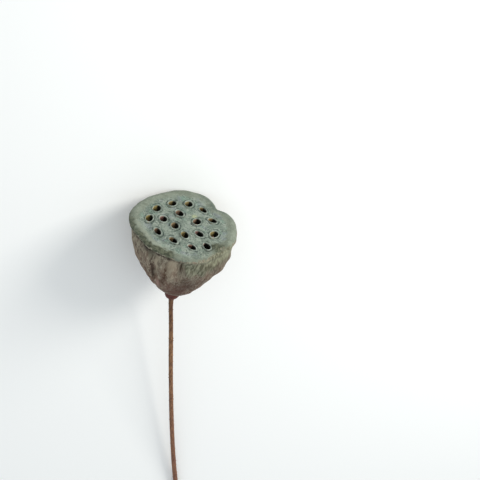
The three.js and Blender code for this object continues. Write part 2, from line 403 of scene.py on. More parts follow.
# The stalk's cut end.
CUT_EDGE = 1.2                # length over which its edge is rounded
CUT_EDGE_DEPTH = 0.15
CUT_DISH = 0.15               # how far its middle is sunk
CANAL_DEPTH = 1.1             # the six air canals
MIDDLE_CANAL_DEPTH = 0.8

# The table in metres: half its side, and its level, a little under the pod.
TABLE_HALF_SIDE = 3.0
TABLE_LEVEL = -0.0002

# Fineness of the surfaces.
FACE_CELLS = 180              # cells along each side of the face's square grid
LINING_COLUMNS = 56
LINING_ROWS = 58
SEED_COLUMNS = 36
SEED_ROWS = 26
STALK_COLUMNS = 40
STALK_ROWS = 640
CUT_END_RINGS = 11


def spin_about(axis, degrees):
    """3 by 3 turn about the axis "X" or "Z"."""
    return np.array(Matrix.Rotation(math.radians(degrees), 3, axis))


HEAD_TURN = spin_about("Z", TURN) @ spin_about("X", LEAN) @ spin_about("Z", SPIN)


def place_head(points):
    """Points of the head's frame in millimetres, laid down in metres, with what would pass the table's
    surface worn flat against it."""
    world = (points @ HEAD_TURN.T + NECK_PLACE) * MM
    world[..., 2] = np.maximum(world[..., 2], 0.0)
    return world


def camera_axes():
    """The camera's right, up and backward directions in the head's frame, and its place there.

    The face's middle lies along the line of sight through FACE_PIXEL. Its normal is that line tilted by
    FACE_TILT, in the direction that FACE_ROLL gives in the picture.
    """
    distance = FOCAL_PIXELS * MM_PER_PIXEL
    from_centre = np.array([FACE_PIXEL[0] - PHOTO_SIDE / 2, PHOTO_SIDE / 2 - FACE_PIXEL[1], -FOCAL_PIXELS])
    face_middle = from_centre * distance / FOCAL_PIXELS
    back = -face_middle / np.linalg.norm(face_middle)
    right = np.cross([0, 1, 0], back)
    right /= np.linalg.norm(right)
    up = np.cross(back, right)
    tilt = math.radians(FACE_TILT)
    roll = math.radians(FACE_ROLL)
    normal = math.sin(tilt) * (math.sin(roll) * right + math.cos(roll) * up) + math.cos(tilt) * back
    head_x = math.cos(roll) * right - math.sin(roll) * up
    head_y = np.cross(normal, head_x)
    head_in_camera = np.column_stack([head_x, head_y, normal])
    place = head_in_camera.T @ -face_middle + np.array([0, 0, HEIGHT])
    return head_in_camera.T, place


CAMERA_IN_HEAD, CAMERA_PLACE = camera_axes()
CAMERA_TURN = HEAD_TURN @ CAMERA_IN_HEAD


def add_camera():
    """The photograph's view of the head, as the pod lies on the table."""
    data = bpy.data.cameras.new("camera")
    data.sensor_width = SENSOR_WIDTH
    data.lens = FOCAL_PIXELS / PHOTO_SIDE * SENSOR_WIDTH
    data.clip_start = 0.01
    camera = bpy.data.objects.new("camera", data)
    bpy.context.collection.objects.link(camera)
    pose = np.eye(4)
    pose[:3, :3] = CAMERA_TURN
    pose[:3, 3] = (HEAD_TURN @ CAMERA_PLACE + NECK_PLACE) * MM
    camera.matrix_world = Matrix(pose.tolist())
    bpy.context.scene.camera = camera


add_camera()


def bell(value, middle, half_width):
    """Smooth hump of height 1 round a value."""
    return np.exp(-(((value - middle) / half_width) ** 2))


def turned_from(turn, middle, whole):
    """How far a turn is from another, between minus and plus half a whole turn."""
    return (turn - middle + whole / 2) % whole - whole / 2


def hump(angle, middle, half_width):
    """Smooth hump of height 1 round an angle, all in degrees."""
    return bell(turned_from(angle, middle, 360), 0, half_width)


def sum_of_humps(angle, humps):
    """Sum of the humps listed as angle, half width and size."""
    total = np.zeros_like(angle)
    for middle, half_width, size in humps:
        total += size * hump(angle, middle, half_width)
    return total


def rim_radius(angle):
    """Radius of the lobed rim."""
    return RIM_RADIUS + sum_of_humps(angle, RIM_LOBES)


def rim_wave(angle):
    """Rise and fall of the rim."""
    return sum_of_humps(angle, RIM_WAVES)


def smooth(value, low, high):
    """0 below low, 1 above high, and an S curve between."""
    share = np.clip((value - low) / (high - low), 0, 1)
    return share * share * (3 - 2 * share)


def ripples(points, length, count, seed):
    """Random low hills: the sum of plane waves of random direction and phase, each roughly length long,
    scaled so that the hills are roughly 1 high."""
    rng = np.random.default_rng(seed)
    directions = rng.normal(size=(count, 3))
    directions /= np.linalg.norm(directions, axis=1, keepdims=True)
    turns = directions * rng.uniform(0.7, 1.4, (count, 1)) * 2 * math.pi / length
    phases = rng.uniform(0, 2 * math.pi, count)
    return np.sin(points @ turns.T + phases).sum(axis=-1) * math.sqrt(2 / count)


def hermite(here, after, leave, arrive, share):
    """Point at a share of the way of a cubic curve from here to after, with the slopes it leaves and arrives
    with."""
    cubic = (2 * here - 2 * after + leave + arrive) * share**3
    square = (-3 * here + 3 * after - 2 * leave - arrive) * share**2
    return cubic + square + leave * share + here


def catmull_rom(points, places):
    """Points of a uniform Catmull-Rom spline at places counted in listed points, end points repeated."""
    last = len(points) - 1
    start = np.clip(np.floor(places).astype(int), 0, last - 1)
    share = (places - start)[..., None]
    before = points[np.maximum(start - 1, 0)]
    here = points[start]
    after = points[start + 1]
    beyond = points[np.minimum(start + 2, last)]
    return hermite(here, after, (after - before) / 2, (beyond - here) / 2, share)


FACE_PLACES = np.linspace(len(SECTION) - 1, RIM_POINT, 400)
FACE_SECTION = catmull_rom(SECTION, FACE_PLACES)


def face_level(x, y):
    """Height of the plain face: the section's height at the point's radius, taken before the rim's lobes
    stretched it, plus the rim's wave, which fades with the square of the radius."""
    angle = np.degrees(np.arctan2(y, x))
    radius = np.hypot(x, y) * RIM_RADIUS / rim_radius(angle)
    level = np.interp(radius, FACE_SECTION[:, 0], FACE_SECTION[:, 1])
    return level + rim_wave(angle) * np.minimum(radius / RIM_RADIUS, 1) ** 2


def sum_of_patches(angle, height, patches):
    """Sum of patches on the wall. Each is a hump round its angle times one round its height, times its
    size."""
    total = np.zeros_like(angle)
    for middle, half_width, level, half_height, size in patches:
        total += size * hump(angle, middle, half_width) * bell(height, level, half_height)
    return total


def wall_relief(angle, height):
    """How far the ribs and furrows move the wall out. They fade out at the rim and at the neck."""
    relief = sum_of_patches(angle, height, WALL_RIBS)
    relief *= np.clip((RIM_FADE_TOP - height) / RIM_FADE_DEPTH, 0, 1)
    return relief * np.clip(height / NECK_FADE_HEIGHT, 0, 1)


def oval_offset(x, y, socket):
    """Place of points in a socket's oval: along its long way and across it, divided by the stretch."""
    middle_x, middle_y, _, stretch, long_way = socket
    turn = math.radians(long_way)
    longer = math.sqrt(stretch)
    along = ((x - middle_x) * math.cos(turn) + (y - middle_y) * math.sin(turn)) / longer
    across = (-(x - middle_x) * math.sin(turn) + (y - middle_y) * math.cos(turn)) * longer
    return along, across


def oval_point(along, across, socket, share):
    """The face's x and y for a place in a socket's oval, with a share of the stretch."""
    middle_x, middle_y, _, stretch, long_way = socket
    turn = math.radians(long_way)
    longer = np.sqrt(1 + (stretch - 1) * share)
    x = middle_x + along * longer * math.cos(turn) - across / longer * math.sin(turn)
    y = middle_y + along * longer * math.sin(turn) + across / longer * math.cos(turn)
    return x, y


def hollow_sockets(points):
    """Draws the face's points into the hollows that hold the linings. Each point within a socket's zone
    keeps its direction from the socket's middle and takes the radius and depth that SKIN_HOLLOW gives."""
    shares, past_mouth, radii, heights = SKIN_HOLLOW.T
    moved = points.copy()
    for socket in SOCKETS:
        mouth = socket[2]
        starts = mouth + np.where(past_mouth == 1, shares, shares * mouth)
        reaches = radii + mouth * past_mouth
        along, across = oval_offset(points[..., 0], points[..., 1], socket)
        distance = np.hypot(along, across)
        inside = distance < starts[-1]
        reach = np.interp(distance[inside], starts, reaches)
        drop = np.interp(distance[inside], starts, heights)
        scale = reach / np.maximum(distance[inside], TINY)
        share = smooth(drop, -6, -2)
        x, y = oval_point(along[inside] * scale, across[inside] * scale, socket, share)
        moved[inside] = np.column_stack([x, y, points[inside][:, 2] + drop])
    return moved


def groove_round_mouths(points):
    """Groove that runs round each cuff, from 0 to 1: a hump of the distance outside the nearest mouth, which
    comes and goes along its way."""
    distance = np.full(points.shape[:-1], FACE_EDGE_RADIUS)
    for socket in SOCKETS:
        along, across = oval_offset(points[..., 0], points[..., 1], socket)
        distance = np.minimum(distance, np.hypot(along, across) - socket[2])
    flat = points * (1, 1, 0)
    broken = smooth(ripples(flat, 6, 14, 61) + 0.6 * ripples(flat, 2.2, 14, 62), -1, 1.2)
    return bell(distance, GROOVE_DISTANCE, GROOVE_HALF_WIDTH) * (0.3 + 0.7 * broken)


def face_relief(points):
    """Low hills of the face in millimetres: broad swells, and finer puckers and grain. The margin outside the
    sockets' zone is smoother."""
    angle = np.degrees(np.arctan2(points[..., 1], points[..., 0]))
    margin = smooth(np.hypot(points[..., 0], points[..., 1]) / rim_radius(angle), 0.74, 0.86)
    swells = FACE_SWELL * ripples(points, 17, 12, 3)
    puckers = FACE_PUCKER * ripples(points, 4.2, 18, 4) + FACE_GRAIN * ripples(points, 2.0, 18, 5)
    hills = (swells + puckers) * (1 - MARGIN_CALM * margin)
    return hills - FACE_SINK - MARGIN_SINK * margin - GROOVE_DEPTH * groove_round_mouths(points)


def face_grid():
    """The face inside FACE_EDGE_RADIUS: a square grid bent to a disc, ring by ring of the square, and
    raised to the face's level. Low hills and the sockets' hollows come on top."""
    side = np.linspace(-1, 1, FACE_CELLS + 1)
    a, b = np.meshgrid(side, side, indexing="ij")
    ring = np.maximum(abs(a), abs(b))
    wide = abs(a) >= abs(b)
    ratio = np.where(wide, b / np.where(a == 0, 1, a), a / np.where(b == 0, 1, b))
    turn = np.where(wide, ratio, 2 - ratio) * math.pi / 4
    sign = np.where(wide, np.where(a < 0, -1, 1), np.where(b < 0, -1, 1))
    angle = np.degrees(np.arctan2(sign * np.sin(turn), sign * np.cos(turn)))
    out = ring * FACE_EDGE_RADIUS * rim_radius(angle) / RIM_RADIUS
    x = out * np.cos(np.radians(angle))
    y = out * np.sin(np.radians(angle))
    points = np.stack([x, y, face_level(x, y)], axis=-1)
    points[..., 2] += face_relief(points)
    return hollow_sockets(points)


def fine_ribs(angle, height):
    """Fine lengthwise ribs of the dried wall in millimetres: waves round the head whose counts are whole
    numbers, each drifting a little with height."""
    rng = np.random.default_rng(11)
    total = np.zeros_like(angle)
    turn = np.radians(angle)
    for count in (23, 31, 41, 53, 67, 89):
        drift = rng.uniform(-0.03, 0.03) * height
        phase = rng.uniform(0, 2 * math.pi)
        strength = 1 + 0.8 * np.sin(rng.integers(2, 6) * turn + rng.uniform(0, 6) + height / 13)
        total += strength * np.cos(count * turn + drift + phase) / math.sqrt(count)
    return total


def round_axis(out, angle, up, rise):
    """Points at a radius, an angle and a height round the head's axis, which leans from the shifted neck to
    the middle of the face. rise is the height as a share of the head's."""
    turn = np.radians(angle)
    return np.stack([NECK_SHIFT * (1 - rise) + out * np.cos(turn), out * np.sin(turn), up], axis=-1)


# Places along SECTION of the wall's rows, close together over the rim, down to the neck.
WALL_PLACES = np.concatenate(
    [
        np.linspace(FACE_EDGE_POINT, 9.5, 30),
        np.linspace(9.5, 6, 26)[1:],
        np.linspace(6, 1, 28)[1:],
    ]
)


def wall_grid(angle):
    """The rim and the wall: the section swept round the head, its radius stretched by the rim's lobes and
    pushed by ribs, furrows, fine ribs and wrinkles. Rows run from the face's edge down to the neck."""
    section = catmull_rom(SECTION, WALL_PLACES)
    radius = section[:, 0][:, None]
    on_face = (WALL_PLACES >= RIM_POINT)[:, None]
    angle = np.broadcast_to(angle, (len(WALL_PLACES), len(angle)))
    height = np.broadcast_to(section[:, 1][:, None], angle.shape)
    rise = np.clip(height / HEIGHT, 0, 1)
    lobe_share = np.where(on_face, 1, rise)
    out = radius * (1 + (rim_radius(angle) / RIM_RADIUS - 1) * lobe_share)
    out = out + np.where(on_face, 0, wall_relief(angle, height))
    up = height + rim_wave(angle) * rise * np.minimum(radius / RIM_RADIUS, 1) ** 2
    plain = round_axis(out, angle, up, rise)
    wall_share = smooth(-height, -69, -60) * smooth(height, 2, 12)
    wrinkles = WALL_WRINKLE * ripples(plain * (1, 1, 0.35), 5, 20, 21)
    wrinkles += WALL_SWELL * ripples(plain, 15, 10, 22)
    out = out + wall_share * (WALL_RIB * fine_ribs(angle, height) + wrinkles - WALL_SINK)
    ragged = height + 0.5 * ripples(plain, 7, 12, 24) + 0.25 * ripples(plain, 3, 12, 25)
    hems = sum_of_patches(angle, ragged, LIP_OVERHANG) + sum_of_patches(angle, height, WALL_CREASES)
    out = out + np.where(on_face, 0, hems)
    face_share = smooth(WALL_PLACES, 11.6, 12.6)[:, None]
    up = up + face_share * face_relief(plain)
    rim_share = (1 - face_share) * (1 - wall_share)
    out = out + rim_share * RIM_SWELL * (ripples(plain, 9, 14, 23) - 1)
    return round_axis(out, angle, up, rise)


def paint_points(piece, name, values):
    """Stores one number or one vector for each point under a name, for the material to read."""
    values = np.asarray(values, dtype=np.float32)
    kind = "FLOAT" if values.ndim == 1 else "FLOAT_VECTOR"
    field = "value" if values.ndim == 1 else "vector"
    attribute = piece.data.attributes.new(name, kind, "POINT")
    attribute.data.foreach_set(field, values.ravel())


def make_piece(name, points, faces):
    """A mesh object at the origin from an array of points of the head's frame and a list of faces. It is
    smooth shaded, rides on the part's body, and stores its points' places for the material."""
    mesh = bpy.data.meshes.new(name)
    mesh.from_pydata(place_head(points), [], faces)
    mesh.shade_smooth()
    mesh.update()
    piece = bpy.data.objects.new(name, mesh)
    bpy.context.collection.objects.link(piece)
    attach(piece, "root")
    paint_points(piece, "head_mm", points)
    return piece


def close_poles(piece):
    """Merges the points that a closed profile brings together on its axis."""
    modifier = piece.modifiers.new("poles", "WELD")
    modifier.merge_threshold = TINY
    bpy.context.view_layer.objects.active = piece
    with bpy.context.temp_override(object=piece, active_object=piece):
        bpy.ops.object.modifier_apply(modifier=modifier.name)


def round_quads(rows, columns, first=0):
    """Quads of a grid whose rows run round and close on themselves. With rows that go up and columns
    anticlockwise seen from above, the faces point outwards."""
    row, column = np.meshgrid(np.arange(rows - 1), np.arange(columns), indexing="ij")
    following = (column + 1) % columns
    a = row * columns + column
    b = row * columns + following
    quads = np.stack([a, b, b + columns, a + columns], axis=-1)
    return (quads.reshape(-1, 4) + first).tolist()


def square_border(cells):
    """Indexes of the border points of a square grid, once round, anticlockwise from the corner (-1, -1)."""
    grid = np.arange((cells + 1) ** 2).reshape(cells + 1, cells + 1)
    return np.concatenate([grid[:-1, 0], grid[-1, :-1], grid[:0:-1, -1], grid[0, :0:-1]])


def face_places(points):
    """Places along SECTION of points of the face, by their radius before the rim's lobes stretched it."""
    angle = np.degrees(np.arctan2(points[:, 1], points[:, 0]))
    radius = np.hypot(points[:, 0], points[:, 1]) * RIM_RADIUS / rim_radius(angle)
    return np.interp(radius, FACE_SECTION[:, 0], FACE_PLACES)


def skin_zones(points, places):
    """The height of each point, and where the skin has which colour or painted light and shade, as shares
    from 0 to
    1 with ragged edges. They follow from the point's place along SECTION and its angle. bloom is the sockets'
    zone, top all above the lip's edge, lip the dark band outside the crest, olive and partly painted shade,
    crest the painted highlight on the line inside it, hem_highlight the painted highlight on the thin edge
    under the lip, dip_shade the painted shade on the margin on the far right, groove the line round each
    cuff, painted dark as shade in the groove, yellow a spot of lichen, painted_lip_shadow the painted shadow
    under the lip, and the rest are WALL_PATCHES, of which shade is painted shade."""
    angle = np.degrees(np.arctan2(points[:, 1], points[:, 0]))
    height = points[:, 2]
    on_top = places > FACE_EDGE_POINT
    ragged = 0.3 * ripples(points, 6, 16, 51) + 0.2 * ripples(points, 2.4, 16, 52)
    streaky = height + 1.2 * ripples(points * (1, 1, 0.2), 5, 14, 53)
    outside_crest = 1 - smooth(places, 12.2, 12.8)
    fibre_reach = 1.3 * hump(angle, *FIBRE_REACH)
    bloom_reach = 1.7 * hump(angle, *BLOOM_REACH)
    lip_reach = 0.6 * hump(angle, *LIP_REACH) + 1.6 * fibre_reach
    lip_strength = np.minimum(sum_of_humps(angle, LIP_STRENGTH), 1)
    above_edge = smooth(places + 0.7 * ragged - fibre_reach, 10.7, 11.2)
    outside_margin = smooth(lip_reach - places - 0.6 * ragged, -13.4, -12.1)
    yellow_x, yellow_y, yellow_radius = YELLOW_SPOT
    from_yellow = np.hypot(points[:, 0] - yellow_x, points[:, 1] - yellow_y)
    under_lip = sum_of_patches(angle, height + 1.2 * ragged, LIP_SHADOW)
    zones = {
        "height_mm": height,
        "bloom": smooth(places + 0.5 * ragged + bloom_reach, 13.5, 14.4),
        "top": above_edge,
        "lip": above_edge * outside_margin * lip_strength,
        "crest": bell(places, 13.4, 0.65) * hump(angle, *CREST_HIGHLIGHT),
        "hem_highlight": bell(places + 0.7 * ragged, 10.95, 0.13) * hump(angle, *HEM_HIGHLIGHT),
        "dip_shade": bell(places + 0.4 * ragged, 12.7, 0.65) * hump(angle, *DIP_SHADE),
        "groove": groove_round_mouths(points) * on_top,
        "yellow": bell(from_yellow, 0, yellow_radius) * on_top,
        "painted_lip_shadow": np.minimum(under_lip, 1) * (places < RIM_POINT),
    }
    for name, patches in WALL_PATCHES.items():
        zones[name] = np.minimum(sum_of_patches(angle, streaky, patches), 1) * outside_crest
    return zones


def make_head():
    """The head's skin: the face's square grid, with the wall's grid hung on its border and drawn
    together at the neck."""
    face = face_grid().reshape(-1, 3)
    border = square_border(FACE_CELLS)
    edge = face[border]
    angle = np.degrees(np.arctan2(edge[:, 1], edge[:, 0]))
    wall = wall_grid(angle)[1:]
    neck = np.array([[NECK_SHIFT, 0, SECTION[0][1]]])
    points = np.concatenate([face, wall.reshape(-1, 3), neck])

    cells = np.arange(FACE_CELLS)
    i, j = np.meshgrid(cells, cells, indexing="ij")
    corner = i * (FACE_CELLS + 1) + j
    face_quads = np.stack([corner, corner + FACE_CELLS + 1, corner + FACE_CELLS + 2, corner + 1], axis=-1)

    columns = len(border)
    wall_rings = len(face) + np.arange(len(wall) * columns).reshape(len(wall), columns)
    rings = np.concatenate([border[None, :], wall_rings])
    following = np.roll(rings, -1, axis=1)
    wall_quads = np.stack([rings[:-1], rings[1:], following[1:], following[:-1]], axis=-1)
    neck_index = np.full(columns, len(points) - 1)
    neck_faces = np.stack([rings[-1], neck_index, following[-1]], axis=-1)

    faces = face_quads.reshape(-1, 4).tolist() + wall_quads.reshape(-1, 4).tolist() + neck_faces.tolist()
    piece = make_piece("pod_head", points, faces)
    places = np.concatenate([face_places(face), np.repeat(WALL_PLACES[1:], columns), [0]])
    for name, values in skin_zones(points, places).items():
        paint_points(piece, name, values)
    return piece


def lining_surface(socket, section, rng):
    """A socket's lining: the section carried round the socket's oval, its cuff wavering in width and height
    from place to place. Returns the points and their heights from the face."""
    middle_x, middle_y, mouth, _, _ = socket
    turn = np.arange(LINING_COLUMNS) * 2 * math.pi / LINING_COLUMNS
    phases = rng.uniform(0, 2 * math.pi, 4)
    waver = 0.5 * np.cos(2 * turn + phases[0]) + 0.35 * np.cos(3 * turn + phases[1])
    bumps = 0.5 * np.cos(turn + phases[2]) + 0.4 * np.cos(3 * turn + phases[3])
    radius, on_mouth, rise, stretch_share = section.T[:, :, None]
    out = radius + mouth * on_mouth
    out = out + CUFF_WAVER * waver * on_mouth
    x, y = oval_point(out * np.cos(turn), out * np.sin(turn), socket, stretch_share)
    rise = rise * np.ones_like(turn)
    rise = np.where(rise > 0, rise * (0.95 + CUFF_BUMP * bumps), rise)
    level = face_level(middle_x, middle_y)
    tilt = face_level(x, y) - level
    return np.stack([x, y, level + rise + tilt * smooth(rise, -4, -1)], axis=-1), rise


def make_linings():
    """The linings of all sockets in one piece. For each point they store its depth below the face, the tint
    and the painted shade, which covers the side to the picture's right from just below the mouth."""
    places = np.linspace(0, len(LINING_SECTION) - 1, LINING_ROWS)
    section = catmull_rom(LINING_SECTION, places)
    section[:, 1] = np.clip(section[:, 1], 0, 1)
    rng = np.random.default_rng(31)
    picture_right = CAMERA_IN_HEAD[:2, 0]
    points = []
    faces = []
    stored = {"depth_mm": [], "tint": [], "shaded_side": []}
    for number, (socket, tint) in enumerate(zip(SOCKETS, LINING_TINTS), start=1):
        lining, rise = lining_surface(socket, section, rng)
        faces += round_quads(LINING_ROWS, LINING_COLUMNS, len(points) * rise.size)
        points.append(lining.reshape(-1, 3))
        offset = lining[..., :2] - socket[:2]
        sideways = offset @ picture_right / np.maximum(np.linalg.norm(offset, axis=-1), TINY)
        right_side = smooth(sideways + SHADE_SPREAD.get(number, 0), -0.12, 0.2)
        stored["depth_mm"].append(-rise.ravel())
        stored["tint"].append(np.full(rise.size, tint))
        # painted shade on the side to the picture's right, below the mouth
        stored["shaded_side"].append((right_side * smooth(-rise, 0.0, 0.6)).ravel())
    piece = make_piece("pod_socket_linings", np.concatenate(points), faces)
    for name, values in stored.items():
        paint_points(piece, name, np.concatenate(values))
    close_poles(piece)
    return piece


def centripetal_spline(points, places):
    """Points of a centripetal Catmull-Rom spline at places counted in listed points, with the line run
    straight on past its ends."""
    padded = np.concatenate([[2 * points[0] - points[1]], points, [2 * points[-1] - points[-2]]])
    start = np.clip(np.floor(places).astype(int), 0, len(points) - 2)
    share = (places - start)[:, None]
    p0, p1, p2, p3 = (padded[start + step] for step in range(4))
    step0 = np.sqrt(np.linalg.norm(p1 - p0, axis=1, keepdims=True))
    step1 = np.sqrt(np.linalg.norm(p2 - p1, axis=1, keepdims=True))
    step2 = np.sqrt(np.linalg.norm(p3 - p2, axis=1, keepdims=True))
    leave = ((p1 - p0) / step0 - (p2 - p0) / (step0 + step1) + (p2 - p1) / step1) * step1
    arrive = ((p2 - p1) / step1 - (p3 - p1) / (step1 + step2) + (p3 - p2) / step2) * step1
    return hermite(p1, p2, leave, arrive, share)


def stalk_bumps(distance, turn, length):
    """Height of the small blunt prickles of the stalk: round humps at random distances and sides."""
    rng = np.random.default_rng(41)
    total = np.zeros_like(distance)
    for _ in range(PRICKLES):
        at = rng.uniform(KNOB_END[1], length - 2)
        side = rng.uniform(0, 2 * math.pi)
        size = rng.uniform(*PRICKLE_HEIGHT)
        width = rng.uniform(*PRICKLE_WIDTH)
        around = turned_from(turn, side, 2 * math.pi) * PRICKLED_RADIUS
        total += size * bell(np.hypot(distance - at, around), 0, width)
    return total


def stalk_rows():
    """Rows along the stalk's middle line, closer together at the knob: the distance along the line, the place
    there, the direction ahead and two directions square to it."""
    dense = centripetal_spline(STALK_LINE, np.linspace(0, len(STALK_LINE) - 1, 3000))
    steps = np.linalg.norm(np.diff(dense, axis=0), axis=1)
    distance = np.concatenate([[0], np.cumsum(steps)])
    rows = distance[-1] * np.linspace(0, 1, STALK_ROWS) ** 1.25
    middle = np.stack([np.interp(rows, distance, dense[:, axis]) for axis in range(3)], axis=-1)
    ahead = np.gradient(middle, axis=0)
    ahead /= np.linalg.norm(ahead, axis=1, keepdims=True)
    side = np.cross([0, 1, 0], ahead)
    side /= np.linalg.norm(side, axis=1, keepdims=True)
    return rows, middle, ahead, side, np.cross(ahead, side)


def cut_end(middle, edge, ahead, turn):
    """The stalk's cut end: rings drawn in from its edge to its middle, a little dished, with six air canals
    round one in the middle. Returns the points and how far they are sunk."""
    shares = np.linspace(1, 0, CUT_END_RINGS + 1)[1:]
    canal_ring = bell(shares, 0.55, 0.17)[:, None] * smooth(np.cos(6 * turn), -0.1, 0.7)
    canal_middle = bell(shares, 0, 0.16)[:, None]
    dish = CUT_DISH * (1 - shares**2)[:, None]
    sunk = dish + CANAL_DEPTH * canal_ring + MIDDLE_CANAL_DEPTH * canal_middle
    return middle + edge * shares[:, None, None] - ahead * sunk[..., None], sunk


def make_stalk():
    """The knob under the head and the stalk: rings square to the middle line. The knob is wrinkled and
    pitted by scars, the stalk has fine ribs and prickles, and the cut end shows its air canals."""
    rows, middle, ahead, side, other = stalk_rows()
    length = rows[-1]
    turn = np.arange(STALK_COLUMNS) * 2 * math.pi / STALK_COLUMNS
    distance, around = np.meshgrid(rows, turn, indexing="ij")
    radius = np.interp(distance, STALK_RADII[:, 0], STALK_RADII[:, 1])
    ring = side[:, None] * np.cos(around)[..., None] + other[:, None] * np.sin(around)[..., None]
    plain = middle[:, None] + ring * radius[..., None]
    knob = 1 - smooth(distance, *KNOB_END)
    ribs = sum(size * np.cos(count * around + distance / drift) for count, drift, size in STALK_RIBS)
    wrinkles = 0.25 * ripples(plain, 4.2, 16, 42) + 0.15 * ripples(plain, 1.9, 18, 43) - 0.05
    scars = np.zeros_like(distance)
    for at, where in KNOB_SCARS:
        offset = turned_from(around, where, 2 * math.pi) * KNOB_RADIUS
        scars += SCAR_DEPTH * bell(np.hypot(distance - at, offset), 0, SCAR_RADIUS)
    relief = knob * (wrinkles - scars) + (1 - knob) * (ribs + stalk_bumps(distance, around, length) + 0.06)
    rounding = CUT_EDGE_DEPTH * smooth(distance, length - CUT_EDGE, length)
    shaft = middle[:, None] + ring * (radius + relief - rounding)[..., None]

    cap, sunk = cut_end(middle[-1], ring[-1] * radius[-1][:, None], ahead[-1], turn)
    start = np.broadcast_to(middle[0], (1, STALK_COLUMNS, 3))
    points = np.concatenate([start, shaft, cap])
    faces = [quad[::-1] for quad in round_quads(len(points), STALK_COLUMNS)]
    piece = make_piece("pod_stalk", points.reshape(-1, 3), faces)
    along = np.concatenate([[0], rows, np.full(len(cap), length)])
    paint_points(piece, "along_mm", np.repeat(along, STALK_COLUMNS))
    hollows = np.concatenate([np.zeros((1, STALK_COLUMNS)), scars * knob, sunk])
    paint_points(piece, "hollow", hollows.ravel())
    close_poles(piece)
    return piece


def make_seed(number, socket):
    """One dry seed: rings of an egg whose radius is a sine of the way from end to end, with a short blunt
    point on top and a few shallow dents."""
    rng = np.random.default_rng(500 + number)
    way = np.linspace(0, math.pi, SEED_ROWS)[:, None]
    turn = np.arange(SEED_COLUMNS) * 2 * math.pi / SEED_COLUMNS
    across = np.sin(way) * SEED_RADIUS * (1 + 0.05 * np.cos(way))
    up = -np.cos(way) * SEED_HALF_LENGTH + SEED_TIP * bell(way, math.pi, 0.16)
    shape = np.stack([across * np.cos(turn), across * np.sin(turn), up * np.ones_like(turn)], axis=-1)
    dents = 1 - 0.02 * (1 + ripples(shape, 6.5, 8, 600 + number))
    shape[..., :2] *= dents[..., None]
    lean = math.sin(math.radians(rng.uniform(*SEED_LEAN))) / 2
    lean_way = rng.uniform(0, 2 * math.pi)
    shape[..., 0] += lean * math.cos(lean_way) * shape[..., 2]
    shape[..., 1] += lean * math.sin(lean_way) * shape[..., 2]
    middle = np.array([socket[0], socket[1], face_level(socket[0], socket[1]) - SEED_DEPTH])
    points = (shape + middle).reshape(-1, 3)
    piece = make_piece(f"seed_{number:02d}_shell", points, round_quads(SEED_ROWS, SEED_COLUMNS))
    paint_points(piece, "tip", np.repeat(bell(way[:, 0], math.pi, 0.35), SEED_COLUMNS))
    close_poles(piece)
    return piece


def linear(hex_colour):
    """An sRGB colour like "#889588" as a linear colour with alpha 1."""
    parts = [int(hex_colour[i : i + 2], 16) / 255 for i in (1, 3, 5)]
    return tuple(c / 12.92 if c <= 0.04045 else ((c + 0.055) / 1.055) ** 2.4 for c in parts) + (1.0,)


def add_node(tree, kind, inputs=None, **settings):
    """Adds a node with its settings. inputs gives, by socket name or number, a value or the output of
    another node to link."""
    made = tree.nodes.new(kind)
    for name, value in settings.items():
        setattr(made, name, value)
    for key, value in (inputs or {}).items():
        if isinstance(value, bpy.types.NodeSocket):
            tree.links.new(value, made.inputs[key])
        else:
            made.inputs[key].default_value = value
    return made


def new_material(name):
    """An empty material with its shader and output. Returns the material, its tree and the shader."""
    material = bpy.data.materials.new(name)
    material.use_nodes = True
    tree = material.node_tree
    tree.nodes.clear()
    shader = add_node(tree, "ShaderNodeBsdfPrincipled")
    add_node(tree, "ShaderNodeOutputMaterial", {"Surface": shader.outputs[0]})
    return material, tree, shader


def read_points(tree, *names):
    """What a piece stores for each point: its place in the head's frame, and the numbers under the given
    names, as a dictionary."""
    nodes = {name: add_node(tree, "ShaderNodeAttribute", attribute_name=name) for name in ("head_mm", *names)}
    return nodes["head_mm"].outputs["Vector"], {name: nodes[name].outputs["Fac"] for name in names}


def lay_grain(tree, where, size, detail=3.0, along=1, offset=0.0):
    """Noise with grains of a size in millimetres, longer along the head's axis by the factor along. Another
    offset gives other grains."""
    scale = (1 / size, 1 / size, 1 / (size * along))
    mapped = add_node(tree, "ShaderNodeMapping", {0: where, 1: (offset, offset, offset), 3: scale})
    settings = {0: mapped.outputs[0], "Scale": 1.0, "Detail": detail}
    return add_node(tree, "ShaderNodeTexNoise", settings).outputs["Fac"]


def lay_colour(tree, base, over, value, span=None, shares=(0, 1), within=None, curve="SMOOTHSTEP"):
    """A colour laid over a base. Its share is the value itself or, where a span is given, goes from the first
    of the shares to the second while the value crosses the span, on an S curve or a straight line. within
    is a share that it is multiplied by. Each colour is a hex colour or the output of a node."""
    if span:
        inputs = {0: value, 1: span[0], 2: span[1], 3: shares[0], 4: shares[1]}
        value = add_node(tree, "ShaderNodeMapRange", inputs, interpolation_type=curve).outputs[0]
    if within is not None:
        value = add_node(tree, "ShaderNodeMath", {0: value, 1: within}, operation="MULTIPLY").outputs[0]
    colours = [linear(colour) if isinstance(colour, str) else colour for colour in (base, over)]
    inputs = {0: value, 6: colours[0], 7: colours[1]}
    return add_node(tree, "ShaderNodeMix", inputs, data_type="RGBA").outputs[2]


def finish_shader(tree, shader, colour, relief, strength, depth, roughness, gloss):
    """Gives the shader its colour, a fine relief of a depth in millimetres, its roughness and its gloss."""
    bump = add_node(tree, "ShaderNodeBump", {"Height": relief, "Strength": strength, "Distance": depth * MM})
    tree.links.new(colour, shader.inputs["Base Color"])
    tree.links.new(bump.outputs[0], shader.inputs["Normal"])
    shader.inputs["Roughness"].default_value = roughness
    shader.inputs["Specular IOR Level"].default_value = gloss


